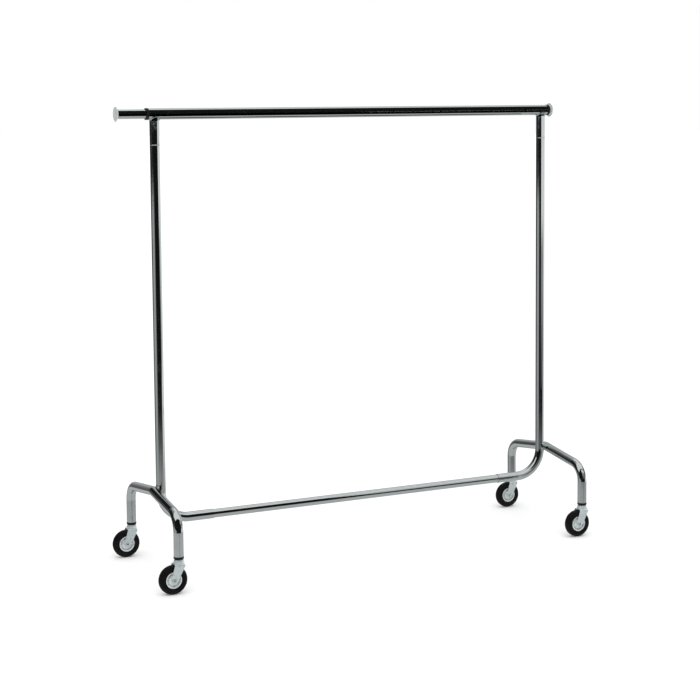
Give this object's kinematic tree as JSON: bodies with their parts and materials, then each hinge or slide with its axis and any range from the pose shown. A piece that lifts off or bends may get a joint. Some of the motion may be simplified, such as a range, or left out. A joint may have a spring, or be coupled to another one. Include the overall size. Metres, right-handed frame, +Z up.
{
  "type": "rolling clothes rack",
  "caption": "Chromed tube clothes rack with a hanging rail between two uprights, a base bar, bent end frames, swivel casters and pull-out arms at the rail's ends.",
  "frame": {"origin": "on the floor, at the centre of the rack's box", "axes": "+X along the hanging rail towards the right-hand end, +Y from front to back, +Z up"},
  "size_m": [1.751, 0.554, 1.634],
  "materials": {
    "chrome_tube": "bright chrome plate",
    "chrome_cap": "bright chrome plate",
    "weld_bead": "plated weld",
    "zinc_pressing": "bright zinc plate",
    "zinc_rim": "bright zinc plate",
    "steel": "turned steel",
    "tyre_rubber": "matt black rubber",
    "black_plastic": "moulded polyamide",
    "bush_plastic": "moulded acetal"
  },
  "bodies": {
    "frame": {"top_rail": "chrome_tube", "base_bar": "chrome_tube", "left_stub": "chrome_tube", "left_rail_weld": "weld_bead", "left_connector": "chrome_tube", "left_upright": "chrome_tube", "left_end_frame": "chrome_tube", "left_frame_weld": "weld_bead", "left_rail_bush": "black_plastic", "right_stub": "chrome_tube", "right_rail_weld": "weld_bead", "right_connector": "chrome_tube", "right_upright": "chrome_tube", "right_end_frame": "chrome_tube", "right_frame_weld": "weld_bead", "right_rail_bush": "black_plastic", "front_left_socket": "black_plastic", "front_left_stem": "steel", "front_left_race": "zinc_pressing", "front_right_socket": "black_plastic", "front_right_stem": "steel", "front_right_race": "zinc_pressing", "back_left_socket": "black_plastic", "back_left_stem": "steel", "back_left_race": "zinc_pressing", "back_right_socket": "black_plastic", "back_right_stem": "steel", "back_right_race": "zinc_pressing"},
    "left_extension": {"left_arm": "chrome_tube", "left_end_disc": "chrome_cap", "left_arm_guide": "black_plastic"},
    "right_extension": {"right_arm": "chrome_tube", "right_end_disc": "chrome_cap", "right_arm_guide": "black_plastic"},
    "front_left_swivel": {"front_left_fork": "zinc_pressing", "front_left_axle": "steel"},
    "front_left_wheel": {"front_left_tyre": "tyre_rubber", "front_left_rim": "zinc_rim", "front_left_hub_bush": "bush_plastic"},
    "front_right_swivel": {"front_right_fork": "zinc_pressing", "front_right_axle": "steel"},
    "front_right_wheel": {"front_right_tyre": "tyre_rubber", "front_right_rim": "zinc_rim", "front_right_hub_bush": "bush_plastic"},
    "back_left_swivel": {"back_left_fork": "zinc_pressing", "back_left_axle": "steel"},
    "back_left_wheel": {"back_left_tyre": "tyre_rubber", "back_left_rim": "zinc_rim", "back_left_hub_bush": "bush_plastic"},
    "back_right_swivel": {"back_right_fork": "zinc_pressing", "back_right_axle": "steel"},
    "back_right_wheel": {"back_right_tyre": "tyre_rubber", "back_right_rim": "zinc_rim", "back_right_hub_bush": "bush_plastic"}
  },
  "joints": [
    {"name": "left_extension_slide", "type": "slide", "parent": "frame", "child": "left_extension", "axis": [-1, 0, 0], "range_m": [-0.098, 0.192]},
    {"name": "right_extension_slide", "type": "slide", "parent": "frame", "child": "right_extension", "axis": [1, 0, 0], "range_m": [0, 0.29]},
    {"name": "front_left_swivel_turn", "type": "hinge", "parent": "frame", "child": "front_left_swivel", "pos_m": [-0.7645, -0.255, 0.105], "axis": [0, 0, 1], "continuous": true},
    {"name": "front_left_wheel_roll", "type": "hinge", "parent": "front_left_swivel", "child": "front_left_wheel", "pos_m": [-0.7865, -0.255, 0.05], "axis": [0, 1, 0], "continuous": true},
    {"name": "front_right_swivel_turn", "type": "hinge", "parent": "frame", "child": "front_right_swivel", "pos_m": [0.8475, -0.255, 0.105], "axis": [0, 0, 1], "continuous": true},
    {"name": "front_right_wheel_roll", "type": "hinge", "parent": "front_right_swivel", "child": "front_right_wheel", "pos_m": [0.8255, -0.255, 0.05], "axis": [0, 1, 0], "continuous": true},
    {"name": "back_left_swivel_turn", "type": "hinge", "parent": "frame", "child": "back_left_swivel", "pos_m": [-0.7645, 0.255, 0.105], "axis": [0, 0, 1], "continuous": true},
    {"name": "back_left_wheel_roll", "type": "hinge", "parent": "back_left_swivel", "child": "back_left_wheel", "pos_m": [-0.7865, 0.255, 0.05], "axis": [0, 1, 0], "continuous": true},
    {"name": "back_right_swivel_turn", "type": "hinge", "parent": "frame", "child": "back_right_swivel", "pos_m": [0.8475, 0.255, 0.105], "axis": [0, 0, 1], "continuous": true},
    {"name": "back_right_wheel_roll", "type": "hinge", "parent": "back_right_swivel", "child": "back_right_wheel", "pos_m": [0.8255, 0.255, 0.05], "axis": [0, 1, 0], "continuous": true}
  ]
}
